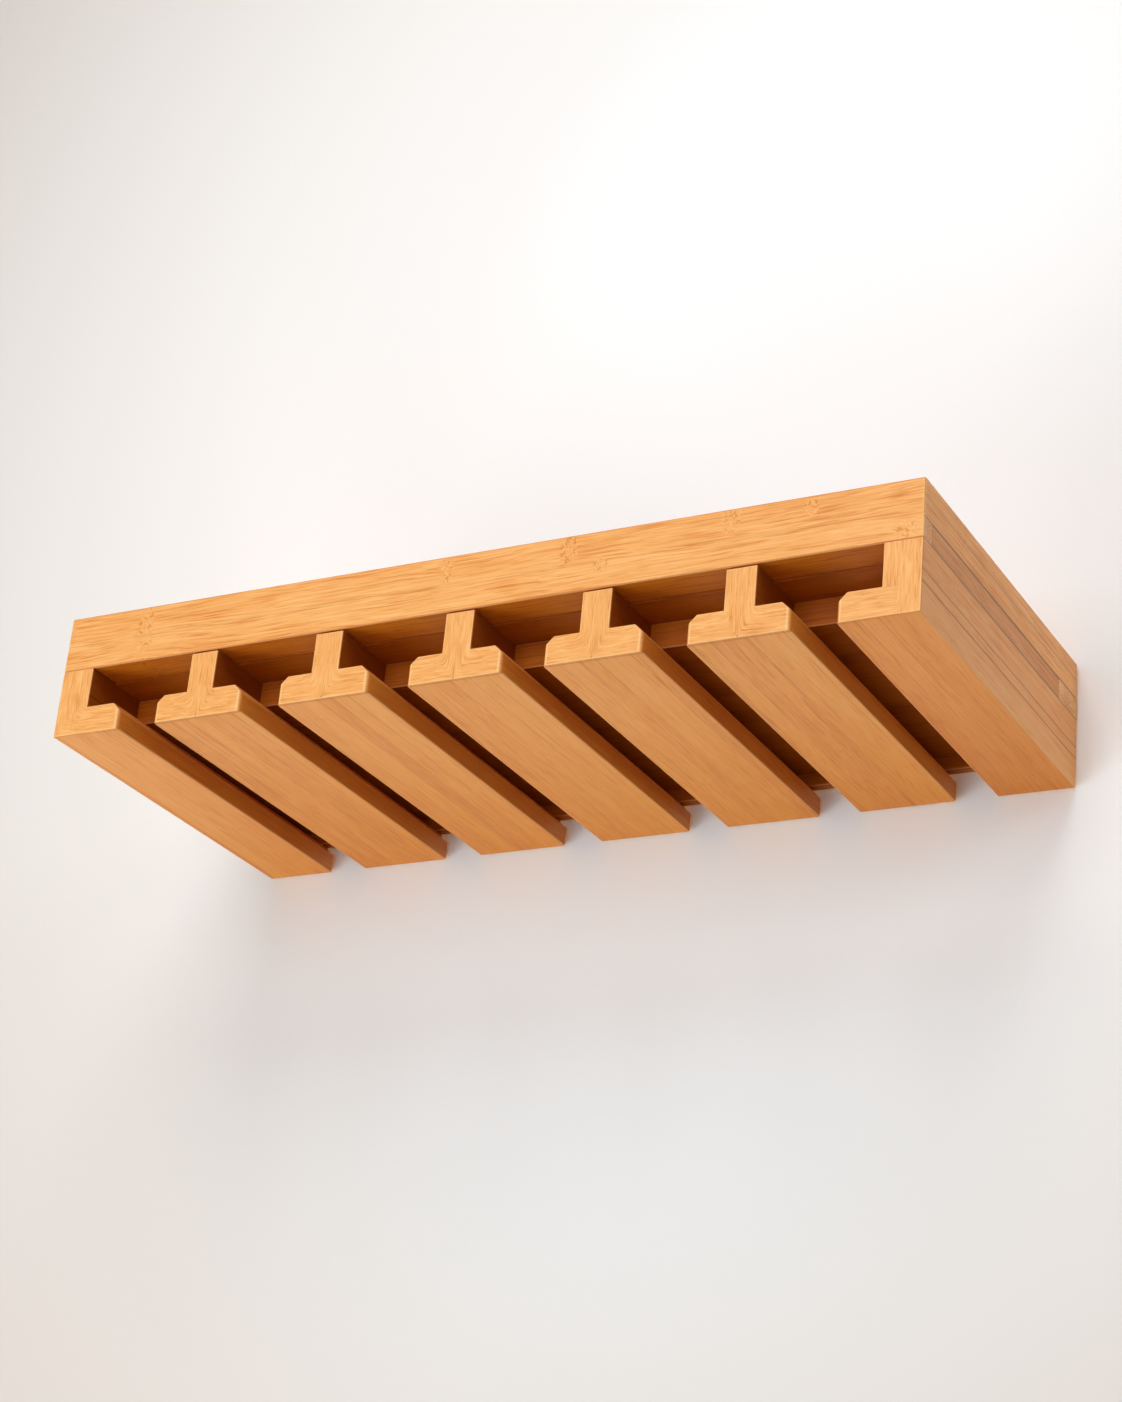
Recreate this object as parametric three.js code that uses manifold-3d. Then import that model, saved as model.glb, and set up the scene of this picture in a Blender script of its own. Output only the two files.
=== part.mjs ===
// A hanging wine glass rack of laminated bamboo. Glasses hang by their feet in six slots between seven rails.
// Millimetres, +Z up. X runs along the front, Y from the front to the back, and the origin is the middle of the
// underside. The rack hangs by the flat top of its frame.
import * as THREE from 'three';
import Module from 'manifold-3d';
import { mergeVertices } from 'three/addons/utils/BufferGeometryUtils.js';

// Rails: five T rails between two end rails
const slotCount = 6;
const slotGap = 28;
const footWidth = 66;
const footThickness = 19;
const footChamfer = 6;
const footCornerRadius = 3.2;
const edgeEase = 1.2;
const stemWidth = 20;
const stemHeight = 26.3;
const shadowGap = 1.2;
const uprightThickness = 24;
const endFootReach = 27;
const rebateDepth = 10;
const railLength = 260;

// Top frame and battens
const barThickness = 24;
const barLapThickness = 12.5;
const stripHeight = 13.5;
const frameHeight = 25;
const rearRailDepth = 24;
const frontBattenDepth = 40;
const rearBattenDepth = 34;
const mitreClearance = 0.3;

// Channels over the feet
const mouthDepth = 52;
const channelHeight = 9;
const stopThickness = 8;

// Screws that hold the rails
const screwShankDiameter = 4;
const screwHeadDiameter = 8;
const screwHeadHeight = 2.4;
const screwHeadRim = 0.4;
const screwTipLength = 5;
const screwBite = 20;
const screwClearance = 0.3;
const driveLength = 4.2;
const driveWidth = 1;
const driveDepth = 1.4;
const overrun = 1;

// Counts of sides and arc steps
const screwSides = 16;
const cornerSteps = 5;

// Levels and edges that follow from the sizes above
const stemCount = slotCount - 1;
const battenBase = footThickness + stemHeight;
const uprightHeight = battenBase + shadowGap;
const frameBase = uprightHeight + stripHeight;
const rackHeight = frameBase + frameHeight;
const endRailWidth = uprightThickness + endFootReach;
const railPitch = footWidth + slotGap;
const rackWidth = 2 * endRailWidth + slotCount * slotGap + stemCount * footWidth;
const rightFace = rackWidth / 2;
const rightInnerFace = rightFace - uprightThickness;
const rebateFace = rightInnerFace + rebateDepth;
const frontFace = -railLength / 2;
const backFace = railLength / 2;
const barBack = frontFace + barThickness;
const lapBack = frontFace + barLapThickness;
const channelBoardFront = frontFace + mouthDepth;
const stopFront = backFace - stopThickness;
const frontBattenBack = barBack + frontBattenDepth;
const rearBattenFront = backFace - rearBattenDepth;
const firstRailX = -rightFace + endRailWidth + slotGap + footWidth / 2;
const channelTop = footThickness + channelHeight;

const wasm = await Module();
wasm.setup();

const bamboo = {
  bar: { color: 0xe6a45c, roughness: 0.5, metalness: 0 },
  rail: { color: 0xd9954f, roughness: 0.52, metalness: 0 },
  side: { color: 0xc08c5e, roughness: 0.55, metalness: 0 },
  inner: { color: 0xb97a3c, roughness: 0.6, metalness: 0 },
};
const steel = { color: 0xb9bcc0, roughness: 0.35, metalness: 1 };

// A closed geometry as a solid that can be joined and cut
function solidFrom(geometry) {
  const bare = geometry.clone();
  bare.deleteAttribute('normal');
  bare.deleteAttribute('uv');
  const merged = mergeVertices(bare);
  const corners = merged.index.array;
  const kept = [];
  for (let i = 0; i < corners.length; i += 3) {
    const [a, b, c] = corners.slice(i, i + 3);
    if (a !== b && b !== c && c !== a) kept.push(a, b, c);
  }
  const vertProperties = new Float32Array(merged.attributes.position.array);
  return new wasm.Manifold(new wasm.Mesh({ numProp: 3, vertProperties, triVerts: new Uint32Array(kept) }));
}

// A solid back as a geometry with flat faces
function geometryFrom(solid) {
  const mesh = solid.getMesh();
  const geometry = new THREE.BufferGeometry();
  geometry.setAttribute('position', new THREE.BufferAttribute(new Float32Array(mesh.vertProperties), 3));
  geometry.setIndex(new THREE.BufferAttribute(new Uint32Array(mesh.triVerts), 1));
  const flat = geometry.toNonIndexed();
  flat.computeVertexNormals();
  return flat;
}

// A board between two limits on each axis
function board([x0, x1], [y0, y1], [z0, z1]) {
  const geometry = new THREE.BoxGeometry(x1 - x0, y1 - y0, z1 - z0);
  geometry.translate((x0 + x1) / 2, (y0 + y1) / 2, (z0 + z1) / 2);
  return solidFrom(geometry);
}

// A closed outline through points
function outline(points) {
  return new THREE.Shape(points.map(([u, v]) => new THREE.Vector2(u, v)));
}

// A plan outline of X and Y, carried up from z0 to z1
function plate(shape, [z0, z1]) {
  const geometry = new THREE.ExtrudeGeometry(shape, {
    depth: z1 - z0,
    bevelEnabled: false,
    curveSegments: cornerSteps,
  });
  geometry.translate(0, 0, z0);
  return solidFrom(geometry);
}

// A cross-section of X and Z, carried from the front face to the back face
function railFrom(section) {
  const geometry = new THREE.ExtrudeGeometry(section, { depth: railLength, bevelEnabled: false });
  geometry.rotateX(Math.PI / 2);
  geometry.translate(0, backFace, 0);
  return solidFrom(geometry);
}

// The plan of a foot, with its front corners rounded where they point into a slot
function footPlan(left, right, roundLeft, roundRight) {
  const leftRadius = roundLeft ? footCornerRadius : 0;
  const rightRadius = roundRight ? footCornerRadius : 0;
  const plan = new THREE.Shape();
  plan.moveTo(left + leftRadius, frontFace);
  plan.lineTo(right - rightRadius, frontFace);
  if (roundRight) plan.absarc(right - rightRadius, frontFace + rightRadius, rightRadius, -Math.PI / 2, 0);
  plan.lineTo(right, backFace);
  plan.lineTo(left, backFace);
  plan.lineTo(left, frontFace + leftRadius);
  if (roundLeft) plan.absarc(left + leftRadius, frontFace + leftRadius, leftRadius, Math.PI, 1.5 * Math.PI);
  return plan;
}

// A T rail's foot round x = 0: chamfered over both slots, with eased lower edges
function railFoot() {
  const half = footWidth / 2;
  const section = outline([
    [-half + edgeEase, 0],
    [half - edgeEase, 0],
    [half, edgeEase],
    [half, footThickness - footChamfer],
    [half - footChamfer, footThickness],
    [-half + footChamfer, footThickness],
    [-half, footThickness - footChamfer],
    [-half, edgeEase],
  ]);
  return railFrom(section).intersect(plate(footPlan(-half, half, true, true), [0, footThickness]));
}

// The right end rail's foot, let into its upright's rebate and chamfered over the slot
function endFoot() {
  const slotEdge = rightInnerFace - endFootReach;
  const section = outline([
    [slotEdge + edgeEase, 0],
    [rebateFace, 0],
    [rebateFace, footThickness],
    [slotEdge + footChamfer, footThickness],
    [slotEdge, footThickness - footChamfer],
    [slotEdge, edgeEase],
  ]);
  return railFrom(section).intersect(plate(footPlan(slotEdge, rebateFace, true, false), [0, footThickness]));
}

// The right end rail's upright, rebated over the foot, with its lower outer edge eased
function upright() {
  return railFrom(outline([
    [rebateFace, 0],
    [rightFace - edgeEase, 0],
    [rightFace, edgeEase],
    [rightFace, uprightHeight],
    [rightInnerFace, uprightHeight],
    [rightInnerFace, footThickness],
    [rebateFace, footThickness],
  ]));
}

// The front bar: mitred to the side rails above, and lapped over the side strips below
function frontBar() {
  const lower = outline([
    [-rightFace, frontFace],
    [rightFace, frontFace],
    [rightFace, lapBack],
    [rightInnerFace, lapBack],
    [rightInnerFace, barBack],
    [-rightInnerFace, barBack],
    [-rightInnerFace, lapBack],
    [-rightFace, lapBack],
  ]);
  const upper = outline([
    [-rightFace, frontFace],
    [rightFace, frontFace],
    [rightInnerFace, barBack],
    [-rightInnerFace, barBack],
  ]);
  return plate(lower, [uprightHeight, frameBase]).add(plate(upper, [frameBase, rackHeight]));
}

// The rear rail of the top frame, mitred at both ends
function rearRail() {
  return plate(outline([
    [-rightInnerFace, backFace - rearRailDepth],
    [rightInnerFace, backFace - rearRailDepth],
    [rightFace, backFace],
    [-rightFace, backFace],
  ]), [frameBase, rackHeight]);
}

// The right side rail, which keeps a thin glue line to both mitres
function sideRail() {
  return plate(outline([
    [rightFace, frontFace + mitreClearance],
    [rightFace, backFace - mitreClearance],
    [rightInnerFace, backFace - rearRailDepth - mitreClearance],
    [rightInnerFace, barBack + mitreClearance],
  ]), [frameBase, rackHeight]);
}

// The rear batten, whose ends rise over the taller uprights
function rearBatten() {
  const whole = board([-rightFace, rightFace], [rearBattenFront, backFace], [battenBase, frameBase]);
  const span = [rearBattenFront - overrun, backFace + overrun];
  const rise = [battenBase - overrun, uprightHeight];
  const right = board([rightInnerFace, rightFace + overrun], span, rise);
  const left = board([-rightFace - overrun, -rightInnerFace], span, rise);
  return whole.subtract(right).subtract(left);
}

// A turned shape from radii and heights, standing at a place
function turned(points, [x, y, z]) {
  const profile = points.map(([radius, height]) => new THREE.Vector2(radius, height));
  const geometry = new THREE.LatheGeometry(profile, screwSides);
  geometry.rotateX(Math.PI / 2);
  geometry.translate(x, y, z);
  return solidFrom(geometry);
}

const screwLength = frameBase - battenBase + screwBite;
const shankRadius = screwShankDiameter / 2;
const headRadius = screwHeadDiameter / 2;

// A countersunk wood screw with a cross drive, its head level with the top of the batten
function screw(x, y) {
  const body = turned([
    [0, -screwLength],
    [shankRadius, screwTipLength - screwLength],
    [shankRadius, -screwHeadHeight],
    [headRadius, -screwHeadRim],
    [headRadius, 0],
    [0, 0],
  ], [x, y, frameBase]);
  const across = driveLength / 2;
  const along = driveWidth / 2;
  const level = [frameBase - driveDepth, frameBase + overrun];
  const slot = board([x - across, x + across], [y - along, y + along], level);
  const crossSlot = board([x - along, x + along], [y - across, y + across], level);
  return body.subtract(slot.add(crossSlot));
}

// The hole that a screw passes down, with its countersink
function screwHole(x, y) {
  const shank = shankRadius + screwClearance;
  const head = headRadius + screwClearance;
  return turned([
    [0, -screwLength - screwClearance],
    [shank, screwTipLength - screwLength - screwClearance],
    [shank, -screwHeadHeight - screwClearance],
    [head, -screwHeadRim - screwClearance],
    [head, overrun],
    [0, overrun],
  ], [x, y, frameBase]);
}

// Each rail has a screw under the front batten and one under the rear batten
const railXs = Array.from({ length: stemCount }, (_, i) => firstRailX + i * railPitch);
const uprightX = rightFace - uprightThickness / 2;
const screwXs = [-uprightX, ...railXs, uprightX];
const screwYs = [(barBack + frontBattenBack) / 2, (rearBattenFront + backFace) / 2];
const screwPlaces = screwYs.flatMap((y) => screwXs.map((x) => [x, y]));
const screwHoles = screwPlaces.map(([x, y]) => screwHole(x, y)).reduce((all, hole) => all.add(hole));

const rack = new THREE.Group();

function addPiece(name, solid, finish) {
  const mesh = new THREE.Mesh(geometryFrom(solid), new THREE.MeshStandardMaterial(finish));
  mesh.name = name;
  rack.add(mesh);
}

// A piece of the right end and its mirror image on the left
function addPair(name, solid, finish) {
  addPiece(`right_${name}`, solid, finish);
  addPiece(`left_${name}`, solid.mirror([1, 0, 0]), finish);
}

// Frame and battens
const overUpright = [rightInnerFace, rightFace];
const betweenUprights = [-rightInnerFace, rightInnerFace];
const sideStrip = board(overUpright, [lapBack, rearBattenFront], [uprightHeight, frameBase]);
const frontBatten = board(betweenUprights, [barBack, frontBattenBack], [battenBase, frameBase]);
addPiece('front_bar', frontBar(), bamboo.bar);
addPiece('rear_rail', rearRail(), bamboo.bar);
addPair('side_rail', sideRail(), bamboo.side);
addPair('side_strip', sideStrip.subtract(screwHoles), bamboo.side);
addPiece('front_batten', frontBatten.subtract(screwHoles), bamboo.inner);
addPiece('rear_batten', rearBatten().subtract(screwHoles), bamboo.inner);

// End rails
addPair('upright', upright().subtract(screwHoles), bamboo.rail);
addPair('foot', endFoot(), bamboo.rail);

// T rails
railXs.forEach((x, i) => {
  const half = stemWidth / 2;
  const stem = board([x - half, x + half], [frontFace, backFace], [footThickness, battenBase]);
  addPiece(`rail_stem_${i + 1}`, stem.subtract(screwHoles), bamboo.rail);
  addPiece(`rail_foot_${i + 1}`, railFoot().translate([x, 0, 0]).subtract(screwHoles), bamboo.rail);
});

// A channel board and a rear stop between each stem and the next
const stemFaces = railXs.flatMap((x) => [x - stemWidth / 2, x + stemWidth / 2]);
const channelFaces = [-rightInnerFace, ...stemFaces, rightInnerFace];
for (let i = 0; i < slotCount; i += 1) {
  const across = channelFaces.slice(2 * i, 2 * i + 2);
  const channelBoard = board(across, [channelBoardFront, stopFront], [channelTop, battenBase]);
  addPiece(`channel_board_${i + 1}`, channelBoard, bamboo.inner);
  addPiece(`rear_stop_${i + 1}`, board(across, [stopFront, backFace], [footThickness, battenBase]), bamboo.inner);
}

screwPlaces.forEach(([x, y], i) => addPiece(`screw_${i + 1}`, screw(x, y), steel));

export default rack;
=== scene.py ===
"""A hanging wine glass rack of laminated bamboo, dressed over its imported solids.

Metres, +Z up. X runs along the front, Y from the open front to the closed back, and the origin is the middle
of the underside. Each board is a section carried along an axis with its arrises eased, and each finish reads
the grain coordinates that its board stores.
"""

import logging
import math
from dataclasses import dataclass, field, replace
from enum import Enum
from typing import Optional, Sequence, Union

import bmesh
import bpy
import numpy as np
from mathutils import Matrix, Vector


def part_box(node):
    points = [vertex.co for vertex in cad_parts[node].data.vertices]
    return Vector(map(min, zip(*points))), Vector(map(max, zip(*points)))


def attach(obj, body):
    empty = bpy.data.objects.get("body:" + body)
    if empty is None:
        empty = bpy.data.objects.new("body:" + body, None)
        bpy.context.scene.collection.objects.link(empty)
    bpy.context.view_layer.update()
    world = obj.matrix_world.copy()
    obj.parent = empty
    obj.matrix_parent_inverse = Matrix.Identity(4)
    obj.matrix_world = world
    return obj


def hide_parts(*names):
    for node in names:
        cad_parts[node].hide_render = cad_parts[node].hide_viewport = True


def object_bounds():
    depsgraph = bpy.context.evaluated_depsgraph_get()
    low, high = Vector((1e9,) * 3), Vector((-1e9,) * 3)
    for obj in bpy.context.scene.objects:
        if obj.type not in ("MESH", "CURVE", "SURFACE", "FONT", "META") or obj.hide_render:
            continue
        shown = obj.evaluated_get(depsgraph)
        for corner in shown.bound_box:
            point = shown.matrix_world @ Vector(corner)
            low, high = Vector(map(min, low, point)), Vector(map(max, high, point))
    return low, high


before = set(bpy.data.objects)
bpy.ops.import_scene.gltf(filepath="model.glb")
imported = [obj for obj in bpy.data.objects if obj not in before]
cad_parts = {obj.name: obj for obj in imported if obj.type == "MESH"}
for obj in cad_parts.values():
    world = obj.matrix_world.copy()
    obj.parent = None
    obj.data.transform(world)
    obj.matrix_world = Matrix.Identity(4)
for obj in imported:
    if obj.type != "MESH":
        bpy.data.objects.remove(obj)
cad_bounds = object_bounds()

log = logging.getLogger("wine_glass_rack")

Colour = tuple[float, float, float]
Span = tuple[float, float]
Number = Union[float, "Signal"]
ORIGIN = (0.0, 0.0, 0.0)
WHITE = (1.0, 1.0, 1.0)
# How far the grain of one board lies from the next one's in the noise
SEED_STRIDE = 7.31
# How squarely a face must look some way to start to count as looking there, and to count in full
FACING = (0.5, 0.8)
# The fibres' values that have a wood's dark, middle and light colour
TONE_STOPS = (0.05, 0.5, 0.95)


def linear(red: int, green: int, blue: int) -> Colour:
    """A colour of the screen, 0 to 255 a channel, as linear light.

    Args:
        red: The red channel.
        green: The green channel.
        blue: The blue channel.

    Returns:
        The three channels as linear light.
    """

    def channel(value: int) -> float:
        """One channel of the standard curve, undone."""
        share = value / 255
        return share / 12.92 if share <= 0.04045 else ((share + 0.055) / 1.055) ** 2.4

    return channel(red), channel(green), channel(blue)


def placed(name: str, data: bpy.types.ID) -> bpy.types.Object:
    """A new object in the scene.

    Args:
        name: The object's name.
        data: Its mesh, lamp or camera.

    Returns:
        The object.
    """
    obj = bpy.data.objects.new(name, data)
    bpy.context.scene.collection.objects.link(obj)
    return obj


class Run(Enum):
    """The way that a board's grain runs, as the axes of its length, its width and its thickness."""

    ALONG_RACK = (0, 2, 1)
    FRONT_TO_BACK = (1, 0, 2)


class Sweep(Enum):
    """How a section lies: the axes of its two directions and of the way that it is carried."""

    ALONG_X = (1, 2, 0)
    ALONG_Y = (0, 2, 1)
    ALONG_Z = (0, 1, 2)


@dataclass(frozen=True)
class Corner:
    """A corner of a board's section, going round it anticlockwise.

    Attributes:
        u: Its place in the section's first direction.
        v: Its place in the section's second direction.
        rounding: How far its rounding reaches along the sides beside it, or 0 for a sharp corner.
        start: Easing at the board's start of the side from here to the next corner. It is negative where that
            side reaches into the easing of the board that it is glued to.
        end: The same at the board's far end.
    """

    u: float
    v: float
    rounding: float = 0.0
    start: float = 0.0
    end: float = 0.0


@dataclass
class Surface:
    """A closed surface.

    Attributes:
        points: Its points.
        faces: Its faces, as lists of point numbers.
        arris: How much each point lies on an arris' painted highlight, on its painted shade, and 0.
    """

    points: np.ndarray
    faces: list[list[int]]
    arris: np.ndarray

    def joined(self, other: "Surface") -> "Surface":
        """This surface and another as one.

        Args:
            other: The surface to add.

        Returns:
            The joined surface.
        """
        count = len(self.points)
        moved = [[index + count for index in face] for face in other.faces]
        points = np.concatenate((self.points, other.points))
        return Surface(points, self.faces + moved, np.concatenate((self.arris, other.arris)))

    def mirrored(self) -> "Surface":
        """This surface's mirror image in the plane x = 0, still facing outwards."""
        return Surface(self.points * (-1.0, 1.0, 1.0), [face[::-1] for face in self.faces], self.arris)


@dataclass(frozen=True)
class Easing:
    """How finely eased arrises and rounded corners are stepped."""

    steps: int = 4
    least_share: float = 0.15
    # How much painted highlight runs along the middle of a rounded long corner
    corner_highlight_share: float = 0.6

    def depths(self, radii: np.ndarray) -> np.ndarray:
        """Depths from a board's end at which its section is taken.

        A quarter circle of radius r is stepped evenly by angle, at r (1 - cos angle), for each radius in use.

        Args:
            radii: The easing of each side at that end.

        Returns:
            The depths in rising order, starting at 0.
        """
        angles = np.linspace(0, math.pi / 2, self.steps + 1)
        used = np.unique(np.abs(radii[radii != 0]))
        depths = (used[:, None] * (1 - np.cos(angles))).ravel()
        return np.unique(np.round(np.append(depths, 0.0), 7))

    @staticmethod
    def insets(depths: np.ndarray, radii: np.ndarray) -> np.ndarray:
        """How far each side stands back at each depth: r - sqrt(r^2 - (r - depth)^2), signed as its radius.

        Args:
            depths: Depths from the board's end.
            radii: The easing of each side.

        Returns:
            One row for each depth and one column for each side.
        """
        size = np.abs(radii)[None, :]
        left = np.clip(size - depths[:, None], 0, None)
        return np.sign(radii) * (size - np.sqrt(size**2 - left**2))

    @staticmethod
    def parts(depths: np.ndarray, radii: np.ndarray) -> np.ndarray:
        """How much each side lies on an arris' pale part and on its brown part, at each depth.

        The pale part is painted highlight on the first half of the turn away from the board's end, and the
        brown part painted shade on the second, each rising to 1 in its middle as a half wave.

        Args:
            depths: Depths from the board's end.
            radii: The easing of each side.

        Returns:
            The two values by depth and side.
        """
        size = np.where(radii > 0, radii, 1e-9)[None, :]
        turn = np.arccos(np.clip(1 - depths[:, None] / size, 0, 1)) * 4 / math.pi
        wave = np.abs(np.sin(turn * math.pi))
        return np.stack((np.where(turn < 1, wave, 0), np.where(turn > 1, wave, 0)), axis=2).round(6)


def carried(section: Sequence[Corner], span: Span, sweep: Sweep, easing: Easing = Easing()) -> Surface:
    """A section carried straight along an axis, with its end arrises eased and its long corners rounded.

    At each depth every side moves inwards by its inset, each corner is where its two sides then cross, and a
    rounded corner is a quadratic curve between points on those sides, with a painted highlight along its
    middle.

    Args:
        section: The corners, anticlockwise in the sweep's two directions.
        span: Where the board starts and ends along the sweep.
        sweep: The axes of the section and of the sweep.
        easing: The steps of the roundings.

    Returns:
        The closed surface, facing outwards.
    """
    place = np.array([(corner.u, corner.v) for corner in section])
    onward = np.roll(place, -1, axis=0) - place
    onward /= np.linalg.norm(onward, axis=1, keepdims=True)
    inward = np.stack((-onward[:, 1], onward[:, 0]), axis=1)
    sides = np.stack((np.roll(inward, 1, axis=0), inward), axis=1)
    rounding = np.array([corner.rounding for corner in section])
    counts = np.where(rounding > 0, easing.steps + 1, 1)
    which = np.repeat(np.arange(len(section)), counts)
    share = np.concatenate([np.linspace(0, 1, count) for count in counts])

    rings = []
    arris_highlight_and_shade = []
    # Painted highlight along the middle of each rounded long corner
    bend = np.stack((4 * share * (1 - share) * easing.corner_highlight_share, 0 * share), axis=1)
    for radii, outer, way in (
        (np.array([corner.start for corner in section]), span[0], 1),
        (np.array([corner.end for corner in section]), span[1], -1),
    ):
        depths = easing.depths(radii)
        inset = easing.insets(depths, radii)
        before = np.roll(inset, 1, axis=1)
        shift = np.linalg.solve(sides[None], np.stack((before, inset), axis=2)[..., None])[..., 0]
        reach = np.maximum(rounding - (before + inset) / 2, easing.least_share * rounding) * (rounding > 0)
        back = (1 - share) ** 2 * reach[:, which]
        forward = share**2 * reach[:, which]
        flat = (place + shift)[:, which]
        flat = flat + forward[..., None] * onward[which] - back[..., None] * np.roll(onward, 1, axis=0)[which]
        level = np.broadcast_to((outer + way * depths)[:, None, None], flat.shape[:2] + (1,))
        ring = np.concatenate((flat, level), axis=2)
        rings.append(ring[::way])
        # Painted highlight on the first half of each eased end arris, and painted shade on the second
        parts = easing.parts(depths, radii)
        beside = np.maximum(parts, np.roll(parts, 1, axis=1))[:, which]
        arris_highlight_and_shade.append(np.maximum(beside, bend[None])[::way])
    return closed_tube(np.concatenate(rings), sweep, np.concatenate(arris_highlight_and_shade))


def closed_tube(rings: np.ndarray, sweep: Sweep, arris: Optional[np.ndarray] = None) -> Surface:
    """Rings of points joined into a closed surface, with a face over each end.

    Args:
        rings: Points by ring and place, in the sweep's own directions.
        sweep: The axes that those directions stand for.
        arris: How much each point lies on an arris' painted highlight and painted shade, if any does.

    Returns:
        The closed surface, facing outwards for anticlockwise rings.
    """
    count, size = rings.shape[:2]
    number = np.arange(count * size).reshape(count, size)
    beside = np.roll(number, -1, axis=1)
    quads = np.stack((number[:-1], beside[:-1], beside[1:], number[1:]), axis=2).reshape(-1, 4)
    faces = quads.tolist() + [number[0, ::-1].tolist(), number[-1].tolist()]
    points = np.empty((count * size, 3))
    points[:, list(sweep.value)] = rings.reshape(-1, 3)
    turned = np.linalg.det(np.eye(3)[list(sweep.value)]) < 0
    arris_highlight_and_shade = np.zeros((count * size, 3))
    if arris is not None:
        arris_highlight_and_shade[:, :2] = arris.reshape(-1, 2)
    return Surface(points, [face[::-1] for face in faces] if turned else faces, arris_highlight_and_shade)


class Signal:
    """A socket of a shader graph, on which Python's operators add Math nodes."""

    def __init__(self, graph: "ShaderGraph", socket: bpy.types.NodeSocket) -> None:
        """Wraps a socket of a graph."""
        self.graph = graph
        self.socket = socket

    def math(self, operation: str, *others: Number, first: bool = True) -> "Signal":
        """One Math node on this signal and others, with this one first or last.

        Args:
            operation: The node's operation.
            others: The other values.
            first: Whether this signal comes before them.

        Returns:
            The node's output.
        """
        values = [self, *others] if first else [*others, self]
        node = self.graph.node("ShaderNodeMath", {"operation": operation}, dict(enumerate(values)))
        return Signal(self.graph, node.outputs[0])

    def __add__(self, other: Number) -> "Signal":
        """The sum."""
        return self.math("ADD", other)

    __radd__ = __add__

    def __sub__(self, other: Number) -> "Signal":
        """The difference."""
        return self.math("SUBTRACT", other)

    def __rsub__(self, other: Number) -> "Signal":
        """The difference, the other way round."""
        return self.math("SUBTRACT", other, first=False)

    def __mul__(self, other: Number) -> "Signal":
        """The product."""
        return self.math("MULTIPLY", other)

    __rmul__ = __mul__

    def __truediv__(self, other: Number) -> "Signal":
        """The quotient."""
        return self.math("DIVIDE", other)

    def __rtruediv__(self, other: Number) -> "Signal":
        """The quotient, the other way round."""
        return self.math("DIVIDE", other, first=False)

    def __pow__(self, other: Number) -> "Signal":
        """The power."""
        return self.math("POWER", other)

    def __abs__(self) -> "Signal":
        """The value without its sign."""
        return self.math("ABSOLUTE")

    def floor(self) -> "Signal":
        """The whole number below."""
        return self.math("FLOOR")

    def fraction(self) -> "Signal":
        """What is left over the whole number below."""
        return self.math("FRACT")

    def most(self, other: Number) -> "Signal":
        """The larger of two values."""
        return self.math("MAXIMUM", other)

    def rise(self, low: float, high: float) -> "Signal":
        """A smooth rise from 0 at low to 1 at high, or a fall where high lies below low.

        Args:
            low: The value at which it starts.
            high: The value at which it is full.

        Returns:
            The rise, from 0 to 1.
        """
        settings = {"interpolation_type": "SMOOTHSTEP"}
        if high > low:
            inputs = {"Value": self, "From Min": low, "From Max": high, "To Min": 0.0, "To Max": 1.0}
        else:
            inputs = {"Value": self, "From Min": high, "From Max": low, "To Min": 1.0, "To Max": 0.0}
        node = self.graph.node("ShaderNodeMapRange", settings, inputs)
        return Signal(self.graph, node.outputs["Result"])


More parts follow.
